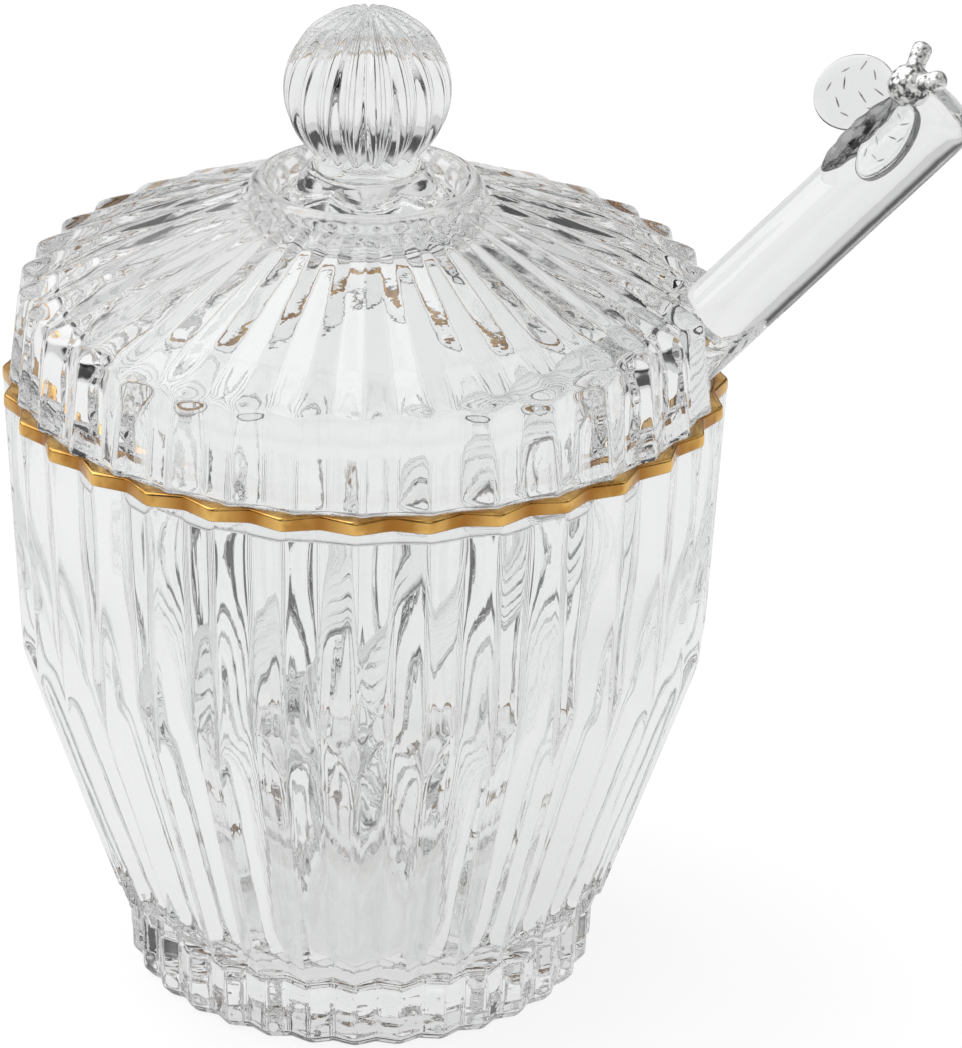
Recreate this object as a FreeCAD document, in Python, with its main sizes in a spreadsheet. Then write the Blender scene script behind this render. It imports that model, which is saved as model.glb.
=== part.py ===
import FreeCAD, Part
import Sketcher
import math
import os

# Fluted glass honey pot: a jar with a gilt lip, a ribbed lid with a ball knob,
# and a round glass dipper that leaves through a notch in the lid's skirt and
# carries a bee on its upper end. Millimetres, +Z up. The origin is the centre
# of the flat underside, and the dipper leans towards +X.

doc = FreeCAD.newDocument("HoneyPot")
sheet = doc.addObject("Spreadsheet::Sheet", "Sizes")

sizeRows = [
    ("jarFluteCount", 32, "flutes round the jar, its foot and its lip"),
    ("lidRibCount", 34, "ribs round the lid"),
    ("knobRibCount", 18, "melon ribs round the knob"),
    ("rimRadius", 46.0, "jar wall, ridge, at the top of the glass"),
    ("glassHeight", 80.0, "top of the jar's glass, under the gilding"),
    ("creaseInset", 1.8, "ridges at the crease nearer the axis than at the rim"),
    ("creaseHeight", 45.3, "height of the crease at the ridges"),
    ("taperRadius", 32.0, "jar wall, ridge, just above the foot"),
    ("taperHeight", 9.2, "height of the tapered wall's lower end"),
    ("wallFluteDepth", 1.7, "depth of the flutes in the upright wall"),
    ("taperFluteDepth", 3.1, "depth of the flutes at the top of the taper"),
    ("footInset", 1.4, "foot's ridges nearer the axis than the wall's lower end"),
    ("footHeight", 8.1, "top of the foot, below the groove"),
    ("footBevel", 1.5, "bevel at the bottom of the foot"),
    ("footFluteDepth", 1.1, "depth of the foot's scallops"),
    ("grooveInset", 2.6, "groove's bottom nearer the axis than the wall's lower end"),
    ("floorHeight", 7.2, "inside floor of the jar"),
    ("coveInset", 3.2, "width of the cove round the floor"),
    ("floorRise", 4.2, "height of the cove round the floor"),
    ("coveWall", 4.4, "wall, at the ridges, just above the cove"),
    ("waistWall", 6.0, "wall, at the ridges, at the crease"),
    ("lipWall", 3.4, "wall, at the ridges, at the lip"),
    ("mouthDepth", 14.0, "depth of the straight bore below the glass top"),
    ("giltThickness", 1.4, "height of the gilt lip"),
    ("giltBevel", 0.4, "bevel on both edges of the gilt lip"),
    ("skirtInset", 0.9, "lid skirt's lower edge inside the rim, at the ridges"),
    ("shoulderInset", 1.3, "shoulder inside the skirt's lower edge"),
    ("skirtHeight", 12.4, "lower edge of the lid to its shoulder"),
    ("skirtRibDepth", 1.7, "depth between the skirt's ribs"),
    ("roofRibDepth", 1.9, "depth between the roof's ribs at the shoulder"),
    ("plateauRadius", 15.1, "ring round the knob, where the ribs end"),
    ("plateauRise", 12.1, "shoulder to the plateau under the ring"),
    ("ringTube", 2.0, "radius of the ring's section"),
    ("locatorWall", 2.7, "thickness of the locating rim"),
    ("lidWall", 4.2, "roof thickness below its ridges"),
    ("locatorDepth", 5.0, "locating rim below the skirt"),
    ("locatorPlay", 0.6, "clearance of the locating rim in the mouth"),
    ("knobBaseRadius", 9.8, "eight-sided foot of the knob"),
    ("knobBaseRise", 3.6, "height of the knob's foot"),
    ("neckRadius", 6.8, "neck below the ball"),
    ("knobRadius", 10.5, "ball, over its ribs"),
    ("knobRise", 13.8, "plateau to the centre of the ball"),
    ("knobRibDepth", 0.75, "depth between the melon ribs"),
    ("rodRadius", 5.2, "dipper rod"),
    ("rodLean", 47.4, "rod above the horizontal, degrees"),
    ("rodTurn", -4.0, "rod's direction round the pot, degrees"),
    ("rodSeatGap", 0.2, "rod clear of the gilt lip"),
    ("rodOverhang", 43.0, "rod beyond the inner edge of the lip"),
    ("rodEndRound", 2.6, "rounding of the rod's upper end"),
    ("bulbRadius", 7.4, "dipper head, over its discs"),
    ("bulbCore", 5.4, "dipper head, between its discs"),
    ("bulbPitch", 4.6, "spacing of the discs"),
    ("discCount", 4, "discs of the dipper head"),
    ("slotPlay", 0.6, "lid notch clear of the rod"),
    ("wingLength", 11.0, "bee wing along the rod"),
    ("wingWidth", 9.2, "bee wing across the rod"),
    ("wingThick", 1.3, "bee wing thickness"),
    ("wingSpread", 5.0, "wing centre from the bee's back"),
    ("wingForward", 2.6, "wing centre ahead of the bee's middle"),
    ("wingRaise", 24.0, "both wings lifted off the rod, degrees"),
    ("wingRoll", 15.0, "left wing lifted more and right wing less, degrees"),
    ("wingSweep", 18.0, "wings swept back, degrees"),
    ("bellyLength", 12.5, "glass under the bee's abdomen, along the rod"),
    ("bellyWidth", 6.6, "glass under the bee's abdomen, across the rod"),
    ("beeTurn", 28.0, "bee's seat round the rod from its top, degrees"),
    ("beeRaise", 0.3, "wing underside off the rod's surface"),
    ("abdomenLength", 14.0, "bee abdomen"),
    ("abdomenRadius", 1.9, "bee abdomen, half its width"),
    ("headRadius", 2.85, "bee head"),
    ("feelerRadius", 1.2, "bee antenna"),
    ("feelerLength", 4.6, "bee antenna from the head's centre"),
]
for row, (alias, value, note) in enumerate(sizeRows, 1):
    sheet.set("A%d" % row, alias)
    sheet.set("B%d" % row, str(value))
    sheet.setAlias("B%d" % row, alias)
    sheet.set("C%d" % row, note)
doc.recompute()


def size(alias):
    return float(sheet.get(alias))


def number(group):
    # a length given as named sizes with factors, such as {"rimRadius": 1, "giltBevel": -1}
    return sum(factor * size(alias) for alias, factor in group.items())


def terms(*groups):
    # several groups of named sizes added into one
    total = {}
    for group in groups:
        for alias, factor in group.items():
            total[alias] = total.get(alias, 0) + factor
    return total


def less(group, alias):
    return terms(group, {alias: -1})


def formula(group):
    return " + ".join("%g * Sizes.%s" % (factor, alias) for alias, factor in group.items())


def originPlane(body, role):
    for feature in body.Origin.OriginFeatures:
        if feature.Role == role:
            return feature


def boundProfile(body, name, corners):
    # closed outline in the body's XZ plane; each corner is (x terms, z terms), {} for zero,
    # and each coordinate is a dimension of the sketch bound to the sheet
    sketch = body.newObject("Sketcher::SketchObject", name)
    sketch.AttachmentSupport = [(originPlane(body, "XZ_Plane"), "")]
    sketch.MapMode = "FlatFace"
    points = [FreeCAD.Vector(number(x), number(z), 0) for x, z in corners]
    count = len(points)
    for i in range(count):
        sketch.addGeometry(Part.LineSegment(points[i], points[(i + 1) % count]), False)
    for i in range(count):
        sketch.addConstraint(Sketcher.Constraint("Coincident", i, 2, (i + 1) % count, 1))
    for i, (x, z) in enumerate(corners):
        for kind, axis, group in (("DistanceX", -2, x), ("DistanceY", -1, z)):
            if not group:
                sketch.addConstraint(Sketcher.Constraint("PointOnObject", i, 1, axis))
                continue
            label = "%s%d" % ("x" if axis == -2 else "z", i)
            index = sketch.addConstraint(
                Sketcher.Constraint(kind, -1, 1, i, 1, number(group)))
            sketch.renameConstraint(index, label)
            sketch.setExpression("Constraints." + label, formula(group))
    return sketch


def revolvedBody(name, corners):
    body = doc.addObject("PartDesign::Body", name)
    sketch = boundProfile(body, name + "Profile", corners)
    turn = body.newObject("PartDesign::Revolution", name + "Turn")
    turn.Profile = sketch
    turn.ReferenceAxis = (sketch, ["V_Axis"])
    turn.Angle = 360
    doc.recompute()
    return body


def flutedSolid(sections, count, depthShare, phase=0.0):
    # a solid whose every level is the same star: count ridges at the given radius and as many
    # valleys depthShare of it nearer the axis. All levels share one centre and one shape, so
    # each facet between two levels is flat. Sections are (height, ridge radius), upwards.
    def star(height, radius):
        points = []
        for i in range(2 * count):
            angle = math.radians(phase) + math.pi * i / count
            reach = radius * (1.0 - depthShare * (i % 2))
            points.append(FreeCAD.Vector(reach * math.cos(angle), reach * math.sin(angle), height))
        return points
    levels = [star(height, radius) for height, radius in sections]
    faces = []
    for lower, upper in zip(levels[:-1], levels[1:]):
        for i in range(2 * count):
            j = (i + 1) % (2 * count)
            faces.append(Part.Face(Part.makePolygon(
                [lower[i], lower[j], upper[j], upper[i], lower[i]])))
    faces.append(Part.Face(Part.makePolygon(levels[0][::-1] + [levels[0][-1]])))
    faces.append(Part.Face(Part.makePolygon(levels[-1] + [levels[-1][0]])))
    solid = Part.makeSolid(Part.makeShell(faces))
    if solid.Volume < 0:
        solid.reverse()
    return solid


def shapeFeature(name, shape):
    feature = doc.addObject("Part::Feature", name)
    feature.Shape = shape
    return feature


def joined(kind, name, pieces):
    result = doc.addObject(kind, name)
    if kind == "Part::Cut":
        result.Base, result.Tool = pieces
    elif kind == "Part::MultiFuse" or kind == "Part::MultiCommon":
        result.Shapes = pieces
    doc.recompute()
    return result


# radii that follow the rim or the wall's lower end, each by its own wall or inset
crease = {"rimRadius": 1, "creaseInset": -1}
waist = less(crease, "waistWall")
mouth = {"rimRadius": 1, "lipWall": -1}
foot = {"taperRadius": 1, "footInset": -1}
groove = {"taperRadius": 1, "grooveInset": -1}
cove = {"taperRadius": 1, "coveWall": -1}
floorEdge = less(cove, "coveInset")
skirt = {"rimRadius": 1, "skirtInset": -1}
shoulder = less(skirt, "shoulderInset")
locator = less(mouth, "locatorPlay")
lidBore = less(locator, "locatorWall")
creaseRadius = number(crease)
footRadius = number(foot)
skirtRadius = number(skirt)
shoulderRadius = number(shoulder)

# heights of the lid's levels above the foot, from the same sizes
lipTop = {"glassHeight": 1, "giltThickness": 1}
shoulderTop = terms(lipTop, {"skirtHeight": 1})
plateauTop = terms(shoulderTop, {"plateauRise": 1})

jarCount = int(size("jarFluteCount"))
lidCount = int(size("lidRibCount"))
glassTop = size("glassHeight")
jarTop = number(lipTop)

# ---- jar: the upright wall and the deeper-fluted taper are two star solids; what they share
# has the zigzag crease, lower at each ridge than at each valley
wallShare = size("wallFluteDepth") / size("rimRadius")
taperShare = size("taperFluteDepth") / creaseRadius
wallSlope = (size("rimRadius") - creaseRadius) / (glassTop - size("creaseHeight"))
taperSlope = ((creaseRadius - size("taperRadius"))
              / (size("creaseHeight") - size("taperHeight")))
uprightWall = shapeFeature("UprightWall", flutedSolid([
    (size("taperHeight"), creaseRadius
     - wallSlope * (size("creaseHeight") - size("taperHeight"))),
    (glassTop, size("rimRadius"))], jarCount, wallShare))
overCrease = 1.2 * (glassTop - size("creaseHeight"))
taperWall = shapeFeature("TaperWall", flutedSolid([
    (size("taperHeight"), size("taperRadius")),
    (size("creaseHeight") + overCrease, creaseRadius + taperSlope * overCrease)],
    jarCount, taperShare))
jarWall = joined("Part::MultiCommon", "JarWall", [uprightWall, taperWall])

footShare = size("footFluteDepth") / footRadius
footStar = shapeFeature("FootStar", flutedSolid([
    (0.0, footRadius - size("footBevel")),
    (size("footBevel"), footRadius - 0.2),
    (size("footHeight"), footRadius)], jarCount, footShare))
grooveNeck = doc.addObject("Part::Cylinder", "GrooveNeck")
grooveNeck.setExpression("Radius", formula(groove))
grooveNeck.setExpression("Height", "Sizes.taperHeight - Sizes.footHeight + 2")
grooveNeck.setExpression("Placement.Base.z", "Sizes.footHeight - 1")
jarOutside = joined("Part::MultiFuse", "JarOutside", [jarWall, footStar, grooveNeck])
cavity = revolvedBody("Cavity", [
    ({}, {"floorHeight": 1}),
    (floorEdge, {"floorHeight": 1}),
    (cove, {"floorHeight": 1, "floorRise": 1}),
    (waist, {"creaseHeight": 1}),
    (mouth, {"glassHeight": 1, "mouthDepth": -1}),
    (mouth, {"glassHeight": 1.02}),
    ({}, {"glassHeight": 1.02}),
])
jar = joined("Part::Cut", "Jar", (jarOutside, cavity))
jar.Label = "jar"

# ---- gilt lip: the jar's own outline carried up by the gilding's height
lipStar = shapeFeature("LipStar", flutedSolid([
    (glassTop, size("rimRadius")),
    (jarTop - size("giltBevel"), size("rimRadius") + 0.1),
    (jarTop, size("rimRadius") - size("giltBevel"))], jarCount, wallShare))
lipBore = revolvedBody("LipBore", [
    ({}, {"glassHeight": 0.98}),
    (mouth, {"glassHeight": 0.98}),
    (mouth, less(lipTop, "giltBevel")),
    (terms(mouth, {"giltBevel": 2}), terms(lipTop, {"giltBevel": 1})),
    ({}, terms(lipTop, {"giltBevel": 1})),
])
giltRim = joined("Part::Cut", "GiltRim", (lipStar, lipBore))
giltRim.Label = "gilt_rim"

# ---- the dipper's line: it lies on the inner edge of the lip, which sets its height
lean = math.radians(size("rodLean"))
lipEdge = number(mouth) + size("giltBevel")
rodLift = (jarTop + (size("rodRadius") + size("rodSeatGap")) / math.cos(lean)
           - lipEdge * math.tan(lean))
rodTurn = FreeCAD.Rotation(FreeCAD.Vector(0, 0, 1), size("rodTurn"))
rodTilt = FreeCAD.Rotation(FreeCAD.Vector(0, 1, 0), 90.0 - size("rodLean"))
rodPlace = FreeCAD.Placement(FreeCAD.Vector(0, 0, rodLift), rodTurn.multiply(rodTilt))

# its head stops short of the tapering inside wall or of the floor, whichever comes first
coveHeight = size("floorHeight") + size("floorRise")
innerSlope = (number(waist) - number(cove)) / (size("creaseHeight") - coveHeight)
headRoom = 1.18 * size("bulbRadius") + size("rodSeatGap")
wallStop = ((number(cove) + innerSlope * (rodLift - coveHeight)
             - headRoom * math.hypot(1.0, innerSlope))
            / (math.cos(lean) + innerSlope * math.sin(lean)))
floorStop = (rodLift - size("floorHeight") - headRoom) / math.sin(lean)
rodDrop = min(wallStop, floorStop)
rodReach = lipEdge / math.cos(lean) + size("rodOverhang")

# ---- lid: skirt and roof are two star solids, and their common part has the ribbed shoulder
shoulderHeight = number(shoulderTop)
plateauHeight = number(plateauTop)
skirtShare = size("skirtRibDepth") / skirtRadius
roofShare = size("roofRibDepth") / shoulderRadius
skirtSlope = (skirtRadius - shoulderRadius) / size("skirtHeight")
roofSlope = size("plateauRise") / (shoulderRadius - size("plateauRadius"))
lidPhase = 90.0 + 1.0
skirtStar = shapeFeature("SkirtStar", flutedSolid([
    (jarTop, skirtRadius),
    (plateauHeight + 1.0, skirtRadius
     - skirtSlope * (plateauHeight + 1.0 - jarTop))], lidCount, skirtShare, lidPhase))
eave = 6.0
roofStar = shapeFeature("RoofStar", flutedSolid([
    (jarTop - 1.0, shoulderRadius + eave),
    (shoulderHeight - eave * roofSlope, shoulderRadius + eave),
    (plateauHeight, size("plateauRadius"))], lidCount, roofShare, lidPhase))
lidShell = joined("Part::MultiCommon", "LidShell", [skirtStar, roofStar])
locatingRim = doc.addObject("Part::Cylinder", "LocatingRim")
locatingRim.setExpression("Radius", formula(locator))
locatingRim.setExpression("Height", "Sizes.locatorDepth + 2")
locatingRim.setExpression("Placement.Base.z", formula(less(lipTop, "locatorDepth")))
ring = doc.addObject("Part::Torus", "PlateauRing")
ring.setExpression("Radius1", "Sizes.plateauRadius - Sizes.ringTube")
ring.setExpression("Radius2", "Sizes.ringTube")
ring.setExpression("Placement.Base.z", formula(plateauTop) + " - 0.3")
knobBase = shapeFeature("KnobBase", flutedSolid([
    (plateauHeight - 1.0, size("knobBaseRadius")),
    (plateauHeight + 0.8, size("knobBaseRadius")),
    (plateauHeight + size("knobBaseRise"), size("neckRadius"))], 4, 0.0))
neck = doc.addObject("Part::Cylinder", "KnobNeck")
neck.setExpression("Radius", "Sizes.neckRadius")
neck.Height = 1.6
neck.Placement.Base.z = plateauHeight + size("knobBaseRise") - 0.4
knobCentre = plateauHeight + size("knobRise")
knobShare = size("knobRibDepth") / size("knobRadius")
knobLevels = []
for step in range(-4, 5):
    angle = math.radians(20.0 * step)
    knobLevels.append((knobCentre + size("knobRadius") * math.sin(angle),
                       size("knobRadius") * math.cos(angle)))
knobBall = shapeFeature("KnobBall", flutedSolid(
    knobLevels, int(size("knobRibCount")), knobShare))
lidOutside = joined("Part::MultiFuse", "LidOutside",
                    [lidShell, locatingRim, ring, knobBase, neck, knobBall])
lidHollow = revolvedBody("LidHollow", [
    ({}, {"glassHeight": 0.9}),
    (lidBore, {"glassHeight": 0.9}),
    (lidBore, terms(shoulderTop, {"lidWall": -0.55})),
    ({"plateauRadius": 1}, less(plateauTop, "lidWall")),
    ({}, less(plateauTop, "lidWall")),
])
# the notch: the rod's section with its play, open downwards, run out along the rod
slotRadius = size("rodRadius") + size("slotPlay")
slotArc = Part.Arc(FreeCAD.Vector(0, -slotRadius, 0), FreeCAD.Vector(-slotRadius, 0, 0),
                   FreeCAD.Vector(0, slotRadius, 0)).toShape()
slotLegs = Part.makePolygon([
    FreeCAD.Vector(0, slotRadius, 0), FreeCAD.Vector(34, slotRadius, 0),
    FreeCAD.Vector(34, -slotRadius, 0), FreeCAD.Vector(0, -slotRadius, 0)])
slotFace = Part.Face(Part.Wire([slotArc] + slotLegs.Edges))
slot = shapeFeature("RodNotch", slotFace.extrude(FreeCAD.Vector(0, 0, 60)))
slotStart = rodPlace.multVec(FreeCAD.Vector(0, 0, 0.9 * lipEdge))
slot.Placement = FreeCAD.Placement(slotStart, rodPlace.Rotation)
lidCuts = joined("Part::MultiFuse", "LidCuts", [lidHollow, slot])
lid = joined("Part::Cut", "Lid", (lidOutside, lidCuts))
lid.Label = "lid"

# ---- dipper: rod, disc head and wings are one piece of glass. The rod's own frame has its
# length along Z, the side that faces down along +X and its origin on the pot's axis
def discCorners():
    corners = [({}, {"bulbRadius": -1}), ({"bulbCore": 0.7}, {"bulbRadius": -1})]
    middle = 0.5 * (size("discCount") - 1)
    for k in range(int(size("discCount"))):
        share = 1.0 - 0.22 * ((k - middle) / middle) ** 2
        corners.append(({"bulbCore": 1}, {"bulbRadius": -1, "bulbPitch": k + 0.15}))
        corners.append(({"bulbRadius": share}, {"bulbRadius": -1, "bulbPitch": k + 0.4}))
        corners.append(({"bulbRadius": share}, {"bulbRadius": -1, "bulbPitch": k + 0.7}))
        corners.append(({"bulbCore": 1}, {"bulbRadius": -1, "bulbPitch": k + 0.95}))
    return corners


head = revolvedBody("DipperHead", discCorners() + [
    ({"rodRadius": 0.9}, {"bulbRadius": -1, "bulbPitch": size("discCount") + 0.4}),
    ({}, {"bulbRadius": -1, "bulbPitch": size("discCount") + 0.4}),
])
head.Placement = FreeCAD.Placement(
    rodPlace.multVec(FreeCAD.Vector(0, 0, -rodDrop)), rodPlace.Rotation)
rod = doc.addObject("Part::Cylinder", "Rod")
rod.setExpression("Radius", "Sizes.rodRadius")
rod.Height = rodDrop + rodReach - size("bulbPitch") * size("discCount") + size("bulbRadius")
rod.Placement = FreeCAD.Placement(
    rodPlace.multVec(FreeCAD.Vector(0, 0, rodReach - rod.Height.Value)),
    rodPlace.Rotation)
doc.recompute()
rodEdges = []
for index, edge in enumerate(rod.Shape.Edges, 1):
    along = rodPlace.inverse().multVec(edge.BoundBox.Center).z
    if edge.Closed and abs(along - rodReach) < 0.01:
        rodEdges.append((index, size("rodEndRound"), size("rodEndRound")))
roundRod = doc.addObject("Part::Fillet", "RoundedRod")
roundRod.Base = rod
roundRod.Edges = rodEdges
doc.recompute()

# the bee's frame: +Z up the rod, +X away from the rod at the bee's seat, +Y across its wings
beeSeat = size("rodRadius") + size("beeRaise")
beeMiddle = rodReach - size("headRadius") - 0.5 * size("abdomenLength")
beeTurn = FreeCAD.Rotation(FreeCAD.Vector(0, 0, 1), 180.0 + size("beeTurn"))


def beePlace(along, out, across, spin=None):
    local = FreeCAD.Placement(FreeCAD.Vector(out, across, along), spin or FreeCAD.Rotation())
    return rodPlace.multiply(FreeCAD.Placement(FreeCAD.Vector(0, 0, 0), beeTurn).multiply(local))


def wingShape(length, width):
    # an oval plate in the bee's YZ plane, its length along Z and its thickness outwards
    oval = Part.Ellipse(FreeCAD.Vector(0, 0, 0.5 * length), FreeCAD.Vector(0, 0.5 * width, 0),
                        FreeCAD.Vector(0, 0, 0))
    return Part.Face(Part.Wire([oval.toShape()])).extrude(
        FreeCAD.Vector(size("wingThick"), 0, 0))


wings = []
for side in (-1, 1):
    # a wing turns up about the bee's back, then sweeps in its own plane
    raised = FreeCAD.Rotation(FreeCAD.Vector(0, 0, 1),
                              -side * (size("wingRaise") - side * size("wingRoll")))
    swept = FreeCAD.Rotation(FreeCAD.Vector(1, 0, 0), side * size("wingSweep"))
    offset = raised.multVec(FreeCAD.Vector(0, side * size("wingSpread"), 0))
    wing = shapeFeature("WingLeft" if side < 0 else "WingRight",
                        wingShape(size("wingLength"), size("wingWidth")))
    wing.Placement = beePlace(
        beeMiddle + size("wingForward"), beeSeat - 0.25 * size("wingThick") + offset.x,
        offset.y, raised.multiply(swept))
    wings.append(wing)
belly = doc.addObject("Part::Ellipsoid", "Belly")
belly.setExpression("Radius1", "Sizes.bellyLength / 2")
belly.setExpression("Radius2", "Sizes.bellyWidth / 2")
belly.setExpression("Radius3", "Sizes.bellyWidth / 2")
belly.Placement = beePlace(beeMiddle - 2.4, beeSeat - 1.7, 0.0)
dipper = joined("Part::MultiFuse", "Dipper", [head, roundRod, belly] + wings)
dipper.Label = "dipper"

# ---- bee: abdomen, head and two short antennae in one cast piece, cut to lie on the glass
abdomen = doc.addObject("Part::Ellipsoid", "Abdomen")
abdomen.setExpression("Radius1", "Sizes.abdomenLength / 2")
abdomen.setExpression("Radius2", "Sizes.abdomenRadius")
abdomen.setExpression("Radius3", "Sizes.abdomenRadius")
beeHeight = beeSeat + 0.7
abdomen.Placement = beePlace(beeMiddle, beeHeight, 0.0)
headAlong = beeMiddle + 0.5 * size("abdomenLength") + 0.55 * size("headRadius")
headBall = doc.addObject("Part::Sphere", "BeeHead")
headBall.setExpression("Radius", "Sizes.headRadius")
headBall.Placement = beePlace(headAlong, beeHeight + 0.4, 0.0)
feelers = []
for side in (-1, 1):
    feeler = doc.addObject("Part::Cylinder", "FeelerLeft" if side > 0 else "FeelerRight")
    feeler.setExpression("Radius", "Sizes.feelerRadius")
    feeler.setExpression("Height", "Sizes.feelerLength")
    feeler.Placement = beePlace(headAlong + 0.5, beeHeight + 0.6, side * 0.6,
                                FreeCAD.Rotation(FreeCAD.Vector(1, 0, 0), side * -38.0))
    feelers.append(feeler)
beeWhole = joined("Part::MultiFuse", "BeeWhole", [abdomen, headBall] + feelers)
bee = joined("Part::Cut", "Bee", (beeWhole, dipper))
bee.Label = "bee"

doc.recompute()
parts = [jar, giltRim, lid, dipper, bee]
for obj in doc.Objects:
    for state in obj.State:
        if state in ("Invalid", "Error"):
            raise RuntimeError("%s is %s" % (obj.Name, state))
os.makedirs("parts", exist_ok=True)
for piece in parts:
    shape = piece.Shape
    if shape.isNull() or not shape.isValid() or len(shape.Solids) != 1:
        raise RuntimeError("%s: null %s, valid %s, solids %d" % (
            piece.Label, shape.isNull(), shape.isValid(), len(shape.Solids)))
    shape.exportStep("parts/%s.step" % piece.Label)
    box = shape.BoundBox
    print("%-10s volume %9.1f  x %.2f..%.2f  y %.2f..%.2f  z %.2f..%.2f" % (
        piece.Label, shape.Volume, box.XMin, box.XMax, box.YMin, box.YMax, box.ZMin, box.ZMax))
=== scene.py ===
import math

import bpy
import numpy as np
from mathutils import Matrix, Vector


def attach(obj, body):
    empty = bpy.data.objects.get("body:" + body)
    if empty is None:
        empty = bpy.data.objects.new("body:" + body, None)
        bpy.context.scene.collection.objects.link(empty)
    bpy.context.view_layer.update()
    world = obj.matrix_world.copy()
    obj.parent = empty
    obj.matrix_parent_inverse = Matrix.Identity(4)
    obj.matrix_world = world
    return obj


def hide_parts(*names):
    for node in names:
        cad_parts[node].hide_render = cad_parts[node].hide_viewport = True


# Fluted glass honey pot with its lid, gilt lip, dipper and bee.
# Sizes in the dictionaries are millimetres and degrees; the meshes are metres.

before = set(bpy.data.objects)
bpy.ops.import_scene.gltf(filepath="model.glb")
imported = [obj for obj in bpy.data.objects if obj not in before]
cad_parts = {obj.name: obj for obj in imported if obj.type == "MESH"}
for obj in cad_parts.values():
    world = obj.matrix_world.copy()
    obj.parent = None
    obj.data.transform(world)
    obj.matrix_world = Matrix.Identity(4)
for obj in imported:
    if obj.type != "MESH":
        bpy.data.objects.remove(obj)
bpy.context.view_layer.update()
print("frame loaded:", sorted(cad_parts))


def newPiece(name, points, faces):
    mesh = bpy.data.meshes.new(name)
    mesh.from_pydata(points, [], faces)
    piece = bpy.data.objects.new(name, mesh)
    bpy.context.scene.collection.objects.link(piece)
    return piece


def gridQuads(count, columns, looped=False):
    # ring i, column j joins ring i+1 and column j+1; columns always close, rings if looped
    i, j = np.meshgrid(np.arange(count if looped else count - 1), np.arange(columns),
                       indexing="ij")
    n, k = (i + 1) % count, (j + 1) % columns
    return np.stack([i * columns + j, i * columns + k, n * columns + k, n * columns + j],
                    -1).reshape(-1, 4)


def skinFromRings(name, rings, startPole, endPole):
    # a closed skin of rings whose ends each close on a pole of their own. Outwards is the
    # turn round times the way along.
    count, columns = rings.shape[:2]
    points = np.concatenate([rings.reshape(-1, 3), [startPole], [endPole]]) * 0.001
    j = np.arange(columns)
    k = (j + 1) % columns
    last = (count - 1) * columns
    start = np.stack([k, j, np.full(columns, count * columns)], -1)
    end = np.stack([last + j, last + k, np.full(columns, count * columns + 1)], -1)
    return newPiece(name, points.tolist(),
                    gridQuads(count, columns).tolist() + start.tolist() + end.tolist())


def loopSkin(name, rings):
    # a closed ring of a section: rings close along the section as well as round the axis
    return newPiece(name, (rings.reshape(-1, 3) * 0.001).tolist(),
                    gridQuads(*rings.shape[:2], looped=True).tolist())


def smoothFaces(piece, angle=42.0):
    piece.data.shade_smooth()
    piece.data.set_sharp_from_angle(angle=math.radians(angle))
    return piece


def softLine(corners, spacing, blur):
    # the straight runs through the corners, divided every spacing and averaged over blur,
    # with both ends kept where they are
    corners = np.array(corners, float)
    along = np.concatenate([[0.0], np.cumsum(np.hypot(*np.diff(corners, axis=0).T))])
    count = int(along[-1] / spacing) + 2
    marks = np.linspace(0.0, along[-1], count)
    line = np.stack([np.interp(marks, along, corners[:, k]) for k in (0, 1)], 1)
    half = max(1, int(round(blur / spacing)))
    padded = np.concatenate([2 * line[0] - line[half:0:-1], line,
                             2 * line[-1] - line[-2:-half - 2:-1]])
    weights = np.hanning(2 * half + 3)[1:-1]
    weights /= weights.sum()
    return np.stack([np.convolve(padded[:, k], weights, "valid") for k in (0, 1)], 1)


def wholeTurn(count):
    return 2 * math.pi * np.arange(count) / count


def eggLevels(count, end):
    # from -1 to 1 along an egg, closer together near its ends; end is the last one's angle
    return np.sin(np.radians(np.linspace(-end, end, count)))[:, None]


def fluted(turn, count, share, soft=0.012, phase=0.0):
    # a round of count ridges at 1 and as many valleys at 1 - share, joined by straight facets:
    # (1-s) sin d / ((1-s) sin(d-a) + sin a), a being the turn from the nearest ridge and d half
    # the turn between ridges, with a eased near ridge and valley by soft
    half = math.pi / count
    away = half * np.arccos((1 - soft) * np.cos(count * (turn - phase))) / math.pi
    return (1 - share) * math.sin(half) / ((1 - share) * np.sin(half - away) + np.sin(away))


def lesser(a, b, blend):
    # the smaller of two radii, rounded over where they cross
    return 0.5 * (a + b - np.sqrt((a - b) ** 2 + blend ** 2))


def ringsAt(radius, height, turn):
    # rows of (radius round the turn, height) as points about the upright axis
    radius = np.broadcast_to(radius, (radius.shape[0], turn.size))
    height = np.broadcast_to(height, radius.shape)
    return np.stack([radius * np.cos(turn), radius * np.sin(turn), height], -1)


def newMaterial(name):
    # an empty material with its nodes and links
    material = bpy.data.materials.new(name)
    material.use_nodes = True
    material.node_tree.nodes.clear()
    return material, material.node_tree.nodes, material.node_tree.links


def feed(links, socket, given):
    # a socket takes another socket or a constant
    if isinstance(given, bpy.types.NodeSocket):
        links.new(given, socket)
    else:
        socket.default_value = given


def mathNode(nodes, links, operation, *given):
    node = nodes.new("ShaderNodeMath")
    node.operation = operation
    for socket, value in zip(node.inputs, given):
        feed(links, socket, value)
    return node.outputs["Value"]


def vectorNode(nodes, links, operation, result, *given):
    node = nodes.new("ShaderNodeVectorMath")
    node.operation = operation
    for socket, value in zip(node.inputs, given):
        feed(links, socket, value)
    return node.outputs[result]


def rangeNode(nodes, links, given, start, end, low=0.0, high=1.0, curve="LINEAR"):
    node = nodes.new("ShaderNodeMapRange")
    node.interpolation_type = curve
    for name, value in (("Value", given), ("From Min", start), ("From Max", end),
                        ("To Min", low), ("To Max", high)):
        feed(links, node.inputs[name], value)
    return node.outputs["Result"]


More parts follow.
